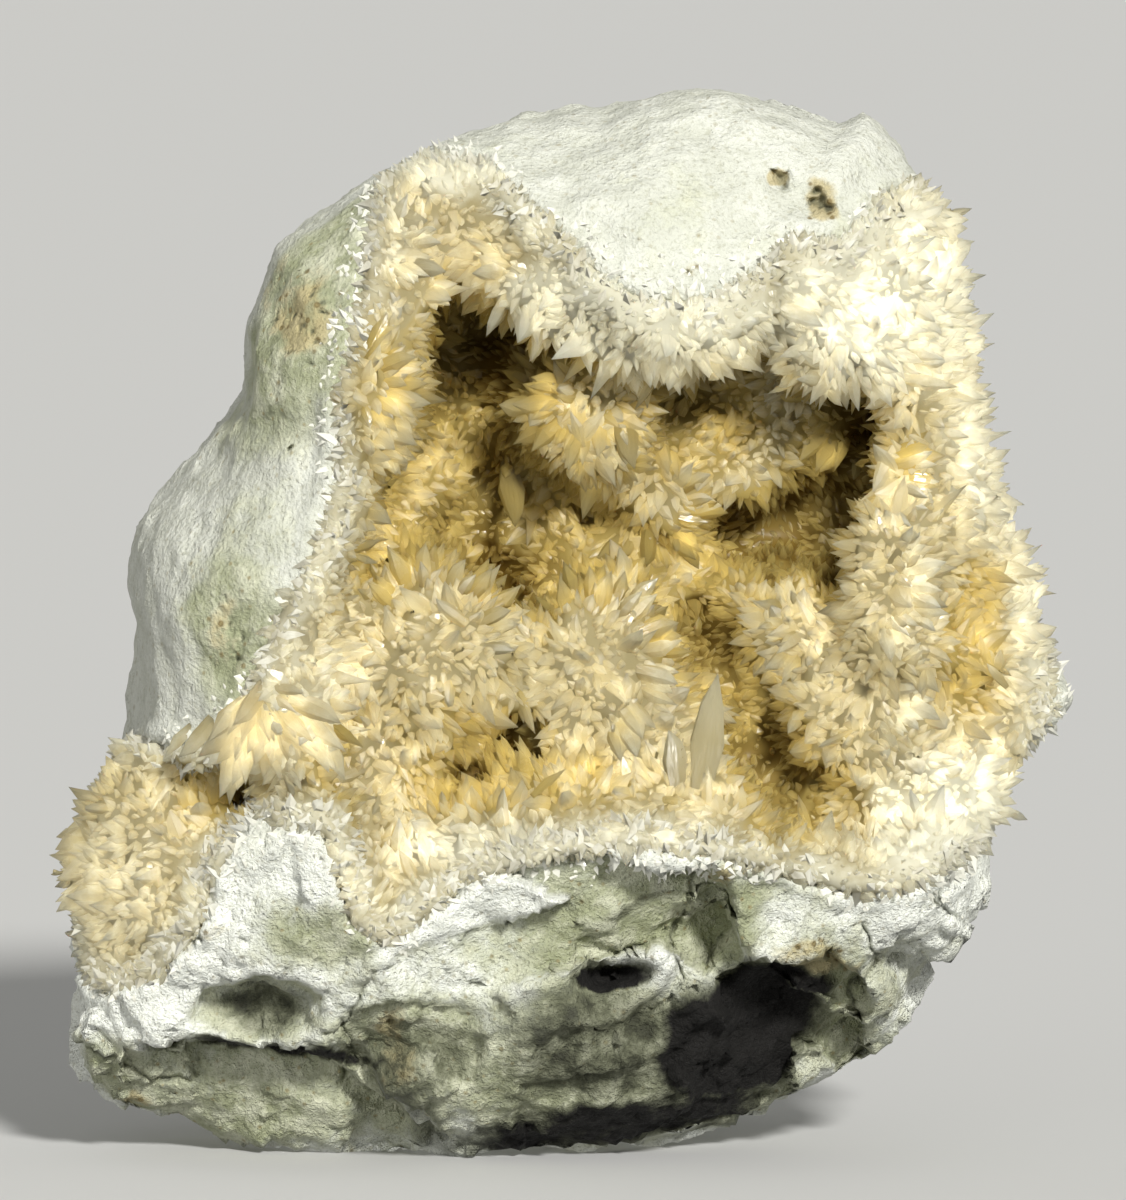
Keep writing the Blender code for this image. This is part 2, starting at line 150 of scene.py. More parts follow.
# Pits: middle (x, z), radius, depth
PITS = [
    (42, 192, 2.3, 2.2), (49, 190, 1.9, 2), (50.5, 186.5, 2.6, 2.8), (24, 174, 1.2, 1.2),
    (-50, 170, 1.1, 0.8), (-53, 165, 1.3, 1.0), (-48, 160, 1.1, 0.9), (-56, 172, 0.9, 0.7),
    (-51, 162, 1.2, 0.9), (-47, 166, 0.9, 0.8), (-54, 158, 1.0, 0.8), (-50, 155, 0.9, 0.7),
    (-57, 165, 0.9, 0.7), (-52, 174, 0.8, 0.7), (-66, 104, 1.1, 0.8), (-64, 98, 1.2, 0.9),
    (-67, 109, 0.9, 0.7), (-63, 102, 0.9, 0.7), (-53.5, 139, 1.0, 2.2), (-88, 8, 1.8, 1.2),
    (-80, 5, 1.6, 1.0), (-86, 61, 1.2, 0.7), (-69, 46, 1.5, 0.8), (-72, 43, 1.3, 0.8),
    (-35, 23, 1.6, 1.0), (-32, 19, 1.8, 1.2), (-29, 16, 1.4, 1.0), (64, 52, 1.4, 0.8),
    (74, 49, 1.2, 0.8),
]
# Cracks: their corners (x, z)
CRACKS = [
    [(-38, 35.5), (-41, 30), (-43.5, 25), (-47, 23.5)],
    [(-84, 22), (-78, 20.5), (-66, 21), (-55, 19.5), (-46, 18), (-37, 12), (-28, 4), (-20, -1)],
    [(-44, 27), (-42, 20), (-44, 14)],
    [(72, 62), (76, 56), (75, 50), (79, 44)],
    [(59, 44), (62, 37), (57, 31), (60, 24)],
    [(26, 57), (23, 48), (21, 42), (24, 33), (18, 27)],
    [(-99, 22), (-90, 19), (-82, 14), (-74, 13)],
]

# Brows of rock: each is a line of corners (x, z), how deep the rock lies back on the line's right hand, and
# how far from the line that is felt
BROWS = [
    ([(-75, 26), (-71, 32), (-61, 35), (-51, 33.5), (-46, 28)], 6, 8),
    ([(-86, 22), (-66, 21), (-55, 19.5), (-46, 18), (-37, 12), (-28, 4)], 8, 22),
    ([(-99, 22), (-90, 19), (-82, 14), (-74, 13)], 3, 10),
    ([(-44, 27.5), (-38, 29.5), (-30, 31), (-22, 29), (-15, 27)], 4, 16),
    ([(-2, 41), (8, 46), (17, 49), (28, 55), (32, 57)], 5, 6),
    ([(2, 36.5), (6, 38.5), (10, 37.5), (16, 38.8)], 8, 4),
    ([(-6, 24), (10, 26), (20, 33), (26, 45), (31, 57)], 4, 22),
    ([(31, 57), (34, 46), (29, 36), (38, 38.5), (45, 37), (52, 40), (59, 34), (63, 28)], 12, 70),
    ([(38, 32), (46, 30), (54, 32), (59, 28)], 4, 14),
    ([(56, 37), (62, 41), (68, 42), (75, 37)], 5, 9),
    ([(-10, 13), (8, 16), (20, 19), (30, 28)], 5, 30),
    ([(72, 44), (80, 42), (86, 42)], 5, 10),
    ([(-20, 50), (-8, 44), (2, 43)], 1.6, 8),
]

# Where the crystals are paler than honey: middle (x, z), half width, half height, tilt in degrees, amount
PALE = [
    (15, 166, 30, 12, 0, 0.9),
    (-36, 186, 8, 14, 8, 0.5),
    (-22, 196, 14, 8, 0, 0.9),
    (-54, 90, 17, 16, 0, 0.5),
    (88, 130, 12, 50, 12, 0.7),
    (64, 170, 24, 22, 0, 0.9),
    (0, 60, 42, 6, 0, 0.7),
    (74, 66, 18, 13, 20, 0.95),
    (-57, 60, 14, 7, 0, 0.8),
    (-88, 52, 12, 16, 0, 0.4),
]
# Clefts between the balls, where the crystals are painted darker as shade, in the same way
PAINTED_SHADE_CLEFTS = [
    (80, 103, 7, 19, -8, 0.6),
    (-6, 73, 24, 6, 0, 0.42),
    (-37, 152, 6, 20, 0, 0.42),
    (6, 149, 13, 10, 0, 0.15),
    (79, 92, 6, 8, 30, 0.5),
    (40, 70, 8, 13, 20, 0.4),
    (30, 104, 5, 14, 15, 0.3),
    (-9, 116, 9, 4, 0, 0.35),
    (-22, 88, 3, 8, 20, 0.3),
    (-28, 160, 4, 14, 0, 0.3),
    (-48, 76, 5, 5, 0, 0.4),
    (-80, 76, 10, 3, -10, 0.3),
    (24, 140, 10, 8, 0, 0.25),
    (70, 150, 4, 12, 0, 0.3),
]
# Where small white crystals spread over the rock beside the hollow, in the same way
SUGARY = [
    (18, 176, 32, 9, 0, 1.0),
    (-30, 190, 12, 20, -30, 0.8),
    (-40, 140, 8, 40, 5, 0.8),
    (78, 60, 14, 14, 0, 1.0),
    (84, 185, 14, 12, 0, 0.8),
    (0, 58, 45, 6, 0, 0.9),
    (-62, 62, 20, 8, 30, 0.9),
    (-64, 84, 14, 10, 0, 0.9),
    (95, 80, 10, 14, 0, 0.9),
]

# Crystals that stand out singly: foot (x, z), tip (x, z), how far the tip comes forward, width
SINGLE_CRYSTALS = [
    ((26.5, 70), (29.5, 95), 5, 7.6),
    ((22, 71), (21, 84), 7, 5.5),
    ((-11.5, 137), (-9.5, 123.5), 11, 6.0),
    ((11, 149), (13, 135), 7, 5.5),
    ((-33, 175), (-23, 173.5), 7, 5.0),
    ((-35, 185), (-27, 183), 6, 4.5),
]
# Fans of crystals round the edges of the balls: middle (x, z), radius, from and to in degrees, count, length,
# width, pallor
FANS = [
    (-59, 92, 14, -135, -25, 22, 11, 4.0, 0.25),
    (-59, 92, 9, -150, -10, 18, 8.5, 3.2, 0.2),
    (-60, 97, 23, -125, -45, 22, 12, 4.0, 0.3),
    (-27, 100, 18, 10, 140, 28, 7.5, 3.2, 0.2),
    (5, 97, 17, -70, 115, 36, 7.5, 3.2, 0.3),
    (6, 150, 13, -205, 25, 34, 7, 3.1, 0.1),
    (6, 150, 8, -215, 35, 24, 5.5, 2.7, 0.0),
    (17, 127, 12, -125, 40, 24, 7, 3.1, 0.2),
    (-33, 78, 12, 100, 265, 18, 7, 3.1, 0.2),
    (-41, 152, 11, -75, 60, 18, 7, 3.1, 0.3),
    (-38, 178, 12, -60, 40, 14, 7, 3.1, 0.4),
    (60, 111, 12, -65, 60, 26, 8.5, 3.6, 0.4),
    (59, 91, 12, -60, 50, 20, 8, 3.4, 0.4),
    (58, 134, 13, -60, 35, 20, 8, 3.4, 0.4),
    (50, 104, 10, 150, 320, 20, 7, 3.1, 0.3),
    (60, 150, 15, 130, 290, 24, 7.5, 3.2, 0.4),
]


def link(name, mesh):
    piece = bpy.data.objects.new(name, mesh)
    bpy.context.scene.collection.objects.link(piece)
    return piece


def settle(piece):
    """Applies the piece's modifiers."""
    bpy.context.view_layer.update()
    graph = bpy.context.evaluated_depsgraph_get()
    mesh = bpy.data.meshes.new_from_object(piece.evaluated_get(graph))
    piece.modifiers.clear()
    piece.data = mesh


def even_copy(node, name, voxel, smoothings):
    """A piece with the shape of a CAD node, in small even faces, its corners softened."""
    bm = bmesh.new()
    bm.from_mesh(node.data)
    bmesh.ops.remove_doubles(bm, verts=bm.verts[:], dist=0.01 * MM)
    mesh = bpy.data.meshes.new(name)
    bm.to_mesh(mesh)
    bm.free()
    piece = link(name, mesh)
    even = piece.modifiers.new("even_faces", "REMESH")
    even.mode = "VOXEL"
    even.voxel_size = voxel
    softened = piece.modifiers.new("softened", "SMOOTH")
    softened.factor = 0.5
    softened.iterations = smoothings
    settle(piece)
    return piece


def points_of(mesh):
    points = np.zeros(len(mesh.vertices) * 3)
    mesh.vertices.foreach_get("co", points)
    return points.reshape(-1, 3)


def normals_of(mesh):
    normals = np.zeros(len(mesh.vertices) * 3)
    mesh.vertex_normals.foreach_get("vector", normals)
    return normals.reshape(-1, 3)


def move_points(mesh, points):
    mesh.vertices.foreach_set("co", points.ravel())
    mesh.update()


def keep_values(mesh, name, values):
    """Stores a value for each point of a mesh, for its material to read."""
    attribute = mesh.attributes.new(name, "FLOAT", "POINT")
    attribute.data.foreach_set("value", np.asarray(values, np.float32))


def tree_of(mesh):
    mesh.calc_loop_triangles()
    corners = np.zeros(len(mesh.loop_triangles) * 3, int)
    mesh.loop_triangles.foreach_get("vertices", corners)
    return BVHTree.FromPolygons(points_of(mesh).tolist(), corners.reshape(-1, 3).tolist())


def seen_place(points):
    """Where these points show, on the lists' plane, in millimetres."""
    x = points[:, 0] - SIDEWAYS
    z = points[:, 2] + points[:, 1] * math.tan(LOOKING_DOWN)
    return np.stack([x, z], axis=1) / MM


def ray_through(x, z):
    """The line of sight through a place on the lists' plane."""
    way = Vector((0, math.cos(LOOKING_DOWN), -math.sin(LOOKING_DOWN)))
    return Vector((x * MM + SIDEWAYS, 0, z * MM)) - way * 0.3, way


def smooth_step(low, high, values):
    share = np.clip((values - low) / (high - low), 0, 1)
    return share * share * (3 - 2 * share)


def patch_amount(places, patches, softness=0.5):
    """How much of each place lies in soft-edged patches."""
    amount = np.zeros(len(places))
    for x, z, half_width, half_height, tilt, strength in patches:
        turn = math.radians(tilt)
        across, up = places[:, 0] - x, places[:, 1] - z
        along = (across * math.cos(turn) + up * math.sin(turn)) / half_width
        upright = (up * math.cos(turn) - across * math.sin(turn)) / half_height
        reach = np.hypot(along, upright)
        amount = np.maximum(amount, strength * (1 - smooth_step(1 - softness, 1 + softness, reach)))
    return amount


def line_distance(places, corners):
    """How far each place is from a line of straight runs."""
    nearest = np.full(len(places), 1e9)
    for start, end in zip(corners, corners[1:]):
        start, run = np.array(start, float), np.subtract(end, start).astype(float)
        share = np.clip((places - start) @ run / (run @ run), 0, 1)
        nearest = np.minimum(nearest, np.linalg.norm(places - start - share[:, None] * run, axis=1))
    return nearest


def noise_at(points, size, octaves=3, offset=0.0):
    """Fractal noise whose largest bumps have this size, in millimetres, for each point."""
    scale = 1 / (size * MM)
    shift = Vector((offset, 2 * offset, -offset))
    return np.array([noise.fractal(Vector(p) * scale + shift, 1.0, 2.0, octaves) for p in points.tolist()])


def facets_at(points, size, offset=0.0):
    """The height of broken rock at each point: flat sides of this size, tilted, that meet in edges."""
    scale = 1 / (size * MM)
    shift = Vector((offset, 2 * offset, -offset))
    heights = []
    for point in points.tolist():
        place = Vector(point) * scale + shift
        sides = []
        for middle in noise.voronoi(place)[1][:3]:
            tilt = noise.cell_vector(middle * 37) - Vector((0.5, 0.5, 0.5))
            sides.append((place - middle).dot(tilt) * 1.6 + tilt.x * 0.8)
        heights.append(max(sides) - 0.45)
    return np.array(heights)


def refine_cracks(piece):
    """Smaller faces along the cracks and round the pits."""
    bm = bmesh.new()
    bm.from_mesh(piece.data)
    for reach in (2.2, 1.4):
        points = np.array([vert.co for vert in bm.verts])
        places = seen_place(points)
        near = np.min([line_distance(places, crack) for crack in CRACKS], axis=0) < reach
        for x, z, radius, _ in PITS:
            near |= np.hypot(places[:, 0] - x, places[:, 1] - z) < radius + reach / 2
        near &= points[:, 1] < 0
        edges = [edge for edge in bm.edges if near[edge.verts[0].index] and near[edge.verts[1].index]]
        bmesh.ops.subdivide_edges(bm, edges=edges, cuts=1)
        bmesh.ops.triangulate(bm, faces=[face for face in bm.faces if len(face.verts) > 4])
        bm.verts.index_update()
    bm.to_mesh(piece.data)
    bm.free()


def brow_depth(places, brow):
    """How far the rock lies back under a brow: at once below its edge, then less and less."""
    corners, depth, reach = brow
    corners = np.array(corners, float)
    under = np.zeros(len(places))
    for start, end in zip(corners, corners[1:]):
        run = end - start
        length = math.hypot(*run)
        side = np.array([run[1], -run[0]]) / length
        share = (places - start) @ run / length**2
        below = (places - start) @ side
        inside = (share > -0.03) & (share < 1.03) & (below > 0)
        under = np.maximum(under, inside * np.clip(below / 0.8, 0, 1) * np.clip(1 - below / reach, 0, 1))
    ends = np.minimum(
        np.linalg.norm(places - corners[0], axis=1), np.linalg.norm(places - corners[-1], axis=1)
    )
    return depth * under * smooth_step(0, 6, ends)


def make_rock(node, crust_tree):
    """The host rock: granular and pitted above, craggy below, with cracks and sharp-edged hollows."""
    piece = even_copy(node, "rock_skin", ROCK_VOXEL, 4)
    refine_cracks(piece)
    mesh = piece.data
    points, normals = points_of(mesh), normals_of(mesh)
    wander = np.stack([noise_at(points, 7, 2, 11.0), noise_at(points, 7, 2, 17.0)], axis=1) * 1.5
    places = seen_place(points)
    wandered = places + wander
    ragged = places + np.stack([noise_at(points, 3, 2, 23.0), noise_at(points, 3, 2, 29.0)], axis=1) * 2
    front = np.clip(-2.5 * normals[:, 1], 0, 1) * (points[:, 1] < 0)
    craggy = 1 - smooth_step(45, 75, places[:, 1])
    craggy = np.maximum(craggy, 0.6 * smooth_step(-5 * MM, 25 * MM, points[:, 1]))
    dull = patch_amount(wandered, DULL) * front
    ochre = patch_amount(wandered, OCHRE) * front
    # Painted shade: places under the brows darkened to stand in for their shadow
    painted_shade = patch_amount(wandered, PAINTED_SHADE_PATCHES) * np.clip(front + 0.3, 0, 1)

    broad = noise_at(points, 17, 2, 3.0)
    blocks = facets_at(points, 15, 1.0)
    chips = facets_at(points, 5.5, 4.0)
    grain = noise_at(points, 3.2, 3, 7.0)
    height = 0.8 * broad + (0.5 + 2.4 * craggy) * blocks + (0.3 + 1.1 * craggy) * chips
    height += (0.28 + 0.12 * craggy) * grain
    height *= MM
    to_crust = np.array([crust_tree.find_nearest(Vector(point))[3] for point in points])
    height += ROCK_SWELL * (1 - smooth_step(1 * MM, 5 * MM, to_crust))
    pit_share = np.zeros(len(points))
    sunk = np.zeros(len(points))
    for brow in BROWS:
        sunk = np.maximum(sunk, brow_depth(places + 0.6 * wander, brow) * front)
    shaded = sunk.copy()
    for x, z, radius, depth in PITS:
        reach = np.hypot(ragged[:, 0] - x, ragged[:, 1] - z) / radius
        share = np.clip(1 - reach**2, 0, 1) * front
        sunk = np.maximum(sunk, depth * share)
        pit_share = np.maximum(pit_share, share)
    for crack in CRACKS:
        share = np.clip(1 - line_distance(wandered, crack) / 0.7, 0, 1) * front
        sunk += 1.6 * share
        pit_share = np.maximum(pit_share, 0.8 * share)
    points += normals * height[:, None]
    points[:, 1] += sunk * MM
    points[:, 2] = np.maximum(points[:, 2], 0)
    move_points(mesh, points)

    # Under the brows the grey-green is raised a little, as painted shade
    keep_values(mesh, "dull", np.maximum(dull, 0.12 * shaded))
    keep_values(mesh, "ochre", ochre)
    keep_values(mesh, "craggy", craggy)
    # Pits and cracks are painted darker too, as the shade in them
    keep_values(mesh, "painted_shade", np.maximum(painted_shade, pit_share * 0.75))
    return piece


def make_ground(node, rock_tree):
    """The crust that the crystals stand on, raised over its joint with the rock."""
    piece = even_copy(node, "crust_ground", CRUST_VOXEL, 9)
    points, normals = points_of(piece.data), normals_of(piece.data)
    distance = np.array([rock_tree.find_nearest(Vector(point))[3] for point in points])
    rim = 1 - smooth_step(2.5 * MM, 6 * MM, distance)
    rise = RIM_RAISED * rim - CRUST_SUNK * (1 - rim)
    move_points(piece.data, points + normals * rise[:, None])
    return piece


def crystal_shape(sides, rings, tip_shift):
    """One crystal, a unit wide and a unit long: rings are (height, width, thickness) from its foot up."""
    bm = bmesh.new()
    height, width, thickness = rings[0]
    ring = bmesh.ops.create_circle(bm, segments=sides, radius=0.5, cap_ends=True)["verts"]
    flat = [vert.co.copy() for vert in ring]
    for vert in ring:
        vert.co = (vert.co.x * width, vert.co.y * thickness, height)
    top = bm.faces[:]
    for height, width, thickness in rings[1:]:
        made = bmesh.ops.extrude_face_region(bm, geom=top)["geom"]
        if height != rings[1][0]:
            bmesh.ops.delete(bm, geom=top, context="FACES_ONLY")
        top = [item for item in made if isinstance(item, bmesh.types.BMFace)]
        for vert, corner in zip(top[0].verts, flat):
            vert.co = (corner.x * width, corner.y * thickness, height)
    tip = bmesh.ops.poke(bm, faces=top)["verts"][0]
    tip.co = (tip_shift[0], tip_shift[1], 1)
    bmesh.ops.triangulate(bm, faces=bm.faces[:])
    bmesh.ops.recalc_face_normals(bm, faces=bm.faces[:])
    bm.verts.index_update()
    points = np.array([vert.co for vert in bm.verts])
    faces = np.array(sorted([vert.index for vert in face.verts] for face in bm.faces))
    bm.free()
    return points, faces


def crystal_shapes():
    return [
        crystal_shape(6, [(0, 0.5, 0.35), (0.45, 1.0, 0.5), (0.75, 0.66, 0.36)], (0.05, 0.0)),
        crystal_shape(6, [(0, 0.6, 0.45), (0.55, 1.0, 0.5), (0.78, 0.7, 0.4)], (-0.15, 0.04)),
        crystal_shape(6, [(0, 0.8, 0.5), (0.5, 1.0, 0.75), (0.72, 0.8, 0.6)], (0.2, -0.05)),
        crystal_shape(5, [(0, 0.7, 0.5), (0.55, 1.0, 0.7)], (-0.2, 0.0)),
        crystal_shape(4, [(0, 0.6, 0.5), (0.5, 1.0, 0.6)], (0.2, 0.08)),
    ]


def perpendicular(axes, rolls):
    """Two directions across each axis, turned by each roll."""
    helper = np.where(np.abs(axes[:, 2:3]) < 0.9, [[0.0, 0.0, 1.0]], [[1.0, 0.0, 0.0]])
    side = np.cross(helper, axes)
    side /= np.linalg.norm(side, axis=1, keepdims=True)
    other = np.cross(axes, side)
    cos, sin = np.cos(rolls)[:, None], np.sin(rolls)[:, None]
    return side * cos + other * sin, other * cos - side * sin


def any_side(axes, random):
    """A direction across each axis, for a crystal's broad side."""
    return perpendicular(axes, random.uniform(0, 2 * math.pi, len(axes)))[0]


def stamp(name, shapes, crystals):
    """One mesh of many crystals, with each crystal's own values kept on its points for the material."""
    random = np.random.default_rng(SEED)
    kinds = crystals["kind"] % len(shapes)
    tones = random.random(len(kinds))
    shifts = random.uniform(-1, 1, (len(kinds), 3))
    side = crystals["side"]
    other = np.cross(crystals["axis"], side)
    all_points, all_faces, all_ways, all_grain = [], [], [], []
    values = {"growth": [], "pallor": [], "depth": [], "tone": []}
    start = 0
    for kind, (points, faces) in enumerate(shapes):
        chosen = np.flatnonzero(kinds == kind)
        width = crystals["width"][chosen, None, None]
        length = crystals["length"][chosen, None, None]
        placed = crystals["foot"][chosen, None] + width * (
            points[None, :, 0:1] * side[chosen, None] + points[None, :, 1:2] * other[chosen, None]
        )
        placed = placed + length * points[None, :, 2:3] * crystals["axis"][chosen, None]
        all_points.append(placed.reshape(-1, 3))
        corner_starts = start + len(points) * np.arange(len(chosen))
        all_faces.append((faces[None] + corner_starts[:, None, None]).reshape(-1, 3))
        start += placed.shape[0] * placed.shape[1]
        values["growth"].append(np.tile(points[:, 2], len(chosen)))
        values["pallor"].append(np.repeat(crystals["pallor"][chosen], len(points)))
        values["depth"].append(np.repeat(crystals["depth"][chosen], len(points)))
        values["tone"].append(np.repeat(tones[chosen], len(points)))
        all_ways.append(np.repeat(crystals["way"][chosen], len(points), axis=0))
        own = points[None] * np.concatenate([width, width, length], axis=2) + shifts[chosen, None]
        all_grain.append(own.reshape(-1, 3))
    mesh = bpy.data.meshes.new(name)
    mesh.from_pydata(np.concatenate(all_points), [], np.concatenate(all_faces))
    for key, parts in values.items():
        keep_values(mesh, key, np.concatenate(parts))
    for key, parts in (("outward", all_ways), ("own_place", all_grain)):
        kept = mesh.attributes.new(key, "FLOAT_VECTOR", "POINT")
        kept.data.foreach_set("vector", np.concatenate(parts).ravel().astype(np.float32))
    return link(name, mesh)


def spread_points(mesh, spacing, random):
    """Points spread evenly over a mesh, and the smoothed normals there."""
    mesh.calc_loop_triangles()
    corners = np.zeros(len(mesh.loop_triangles) * 3, int)
    mesh.loop_triangles.foreach_get("vertices", corners)
    corners = corners.reshape(-1, 3)
    points, normals = points_of(mesh), normals_of(mesh)
    first, second, third = (points[corners[:, n]] for n in range(3))
    areas = np.linalg.norm(np.cross(second - first, third - first), axis=1) / 2
    count = int(areas.sum() / spacing**2 * 3)
    chosen = random.choice(len(corners), count, p=areas / areas.sum())
    shares = random.dirichlet((1, 1, 1), count)
    places = np.einsum("nc,nck->nk", shares, points[corners[chosen]])
    ways = np.einsum("nc,nck->nk", shares, normals[corners[chosen]])
    kept = thinned(places, spacing)
    ways = ways[kept]
    return places[kept], ways / np.linalg.norm(ways, axis=1, keepdims=True)


def thinned(places, spacing):
    """Which of the places stay, so that no two are closer than the spacing."""
    taken, kept = {}, []
    cells = np.floor(places / spacing).astype(int).tolist()
    nearby = [(a, b, c) for a in (-1, 0, 1) for b in (-1, 0, 1) for c in (-1, 0, 1)]
    for number, (place, (i, j, k)) in enumerate(zip(places.tolist(), cells)):
        for a, b, c in nearby:
            other = taken.get((i + a, j + b, k + c))
            if other is not None and math.dist(place, other) < spacing:
                break
        else:
            taken[(i, j, k)] = place
            kept.append(number)
    return np.array(kept)


def openness(places, ways, tree, reach=70 * MM, rays=20):
    """The share of open directions over each place."""
    golden = math.pi * (3 - math.sqrt(5))
    spiral = []
    for n in range(rays):
        up = math.sqrt(1 - (n + 0.5) / rays)
        out = math.sqrt(1 - up * up)
        spiral.append((math.cos(golden * n) * out, math.sin(golden * n) * out, up))
    side, other = perpendicular(ways, np.zeros(len(ways)))
    open_share = []
    for place, way, a, b in zip(places, ways, side, other):
        start = Vector(place + way * 1.5 * MM)
        misses = 0
        for x, y, z in spiral:
            if tree.ray_cast(start, Vector(a * x + b * y + way * z), reach)[0] is None:
                misses += 1
        open_share.append(misses / rays)
    return np.array(open_share)


def room_ahead(places, axes, tree, reach):
    """How far each crystal can grow before it meets the far wall."""
    room = []
    for place, axis in zip(places, axes):
        distance = tree.ray_cast(Vector(place + axis * 1.5 * MM), Vector(axis), reach)[3]
        room.append(reach if distance is None else distance + 1.5 * MM)
    return np.array(room)


def unit(ways):
    return ways / np.linalg.norm(ways, axis=1, keepdims=True)


def buried(places, ways, rock_tree):
    """Whether each place of the crust faces rock that covers it."""
    covered = []
    for place, way in zip(places, ways):
        hit, side, _, distance = rock_tree.ray_cast(Vector(place + way * 0.3 * MM), Vector(way), 300 * MM)
        covered.append(hit is not None and (distance < 1.6 * MM or side.dot(Vector(way)) > 0))
    return np.array(covered)


def crust_crystals(ground, ground_tree, rock_tree, random):
    """The crystals that cover the crust: rosettes that radiate from centres under its surface."""
    places, ways = spread_points(ground.data, CRYSTAL_SPACING, random)
    rock_distance = np.array([rock_tree.find_nearest(Vector(place))[3] for place in places])
    shows = ~buried(places, ways, rock_tree) | ((rock_distance < 3.2 * MM) & (ways[:, 1] < 0))
    places, ways, rock_distance = places[shows], ways[shows], rock_distance[shows]

    centres = thinned(places, ROSETTE_SPACING)
    roots = places[centres] - ways[centres] * random.uniform(5, 11, (len(centres), 1)) * MM
    nearest = nearest_in(places[centres])(places)
    count = len(places)
    axes = unit(places - roots[nearest]) * 0.75 + ways * 0.35 + random.normal(size=(count, 3)) * 0.2
    axes = unit(axes)
    lean = np.clip(0.35 - np.einsum("nk,nk->n", axes, ways), 0, None)
    axes = unit(axes + ways * lean[:, None])

    open_share = evened(places, openness(places, ways, ground_tree))
    shaded_ways = unit(evened(places, ways))
    seen = seen_place(places)
    rim = 1 - smooth_step(4, 11, rock_distance / MM)
    # Pallor fades where the place is less open, leaving the painted shade there
    pallor = np.maximum(patch_amount(seen, PALE), 0.6 * rim) * smooth_step(0.15, 0.5, open_share)
    # Painted shade in the clefts: they count as less open and lose their pallor
    cleft_shade = patch_amount(seen, PAINTED_SHADE_CLEFTS)
    open_share = open_share * (1 - cleft_shade)
    pallor = pallor * (1 - cleft_shade)
    big = random.random(count) < 0.1
    width = np.where(big, random.uniform(3.4, 5.2, count), random.uniform(1.6, 3.2, count)) * (1 - 0.3 * rim)
    length = width * random.uniform(2.0, 3.2, count) * (1 - 0.35 * rim)
    hidden = smooth_step(0.45, 0.15, open_share)
    width *= 1 - 0.35 * hidden
    length *= 1 - 0.5 * hidden
    sunk = random.uniform(0.36, 0.54, count)
    room = room_ahead(places, axes, ground_tree, 30 * MM) / MM
    length = np.maximum(np.minimum(length, 0.7 * room / (1 - sunk)), SHORTEST_CRYSTAL)
    foot = places - axes * (length * sunk)[:, None] * MM
    return {
        "foot": foot, "axis": axes, "side": any_side(axes, random), "width": width * MM,
        "length": length * MM, "pallor": pallor, "depth": 1 - open_share, "place": places,
        "way": shaded_ways, "kind": random.integers(0, 60, count),
    }


def single_crystals(trees, random):
    """The larger crystals and the fans round the balls, each on the surface that shows at its foot."""
    plans = [(*plan, 0.0) for plan in SINGLE_CRYSTALS]
    for x, z, radius, first, last, count, length, width, pallor in FANS:
        for angle in np.linspace(math.radians(first), math.radians(last), count):
            angle += random.normal() * 0.13
            way = np.array([math.cos(angle), math.sin(angle)])
            size = random.uniform(0.6, 1.3)
            end = radius + random.uniform(-3.0, 1.5) + 0.3 * length * size
            foot, tip = way * (end - length * size), way * end
            plans.append((foot + (x, z), tip + (x, z), random.uniform(1, 7), width * size, pallor))
    rows = []
    for foot, tip, forward, width, pallor in plans:
        hits = [tree.ray_cast(*ray_through(*foot))[0] for tree in trees]
        hit = min([hit for hit in hits if hit], key=lambda place: place.y, default=None)
        if hit is None:
            continue
        start = hit + Vector((0, 2 * MM, 0))
        end = Vector((tip[0] * MM + SIDEWAYS, hit.y - forward * MM, 0))
        end.z = tip[1] * MM - end.y * math.tan(LOOKING_DOWN)
        rows.append((start, end, width, pallor))
    feet = np.array([row[0] for row in rows])
    runs = np.array([row[1] - row[0] for row in rows])
    count = len(rows)
    broad = unit(np.cross(runs, np.array([0.25, -1.0, 0.1]) + random.normal(size=(count, 3)) * 0.25))
    return {
        "foot": feet, "axis": unit(runs), "side": broad, "width": np.array([row[2] for row in rows]) * MM,
        "length": np.linalg.norm(runs, axis=1), "pallor": np.array([row[3] for row in rows]),
        "depth": np.full(count, 0.35), "place": feet, "way": np.tile([0.0, -1.0, 0.0], (count, 1)),
        "kind": np.arange(count) % 2 + np.where(np.arange(count) < len(SINGLE_CRYSTALS), 0, 2),
    }


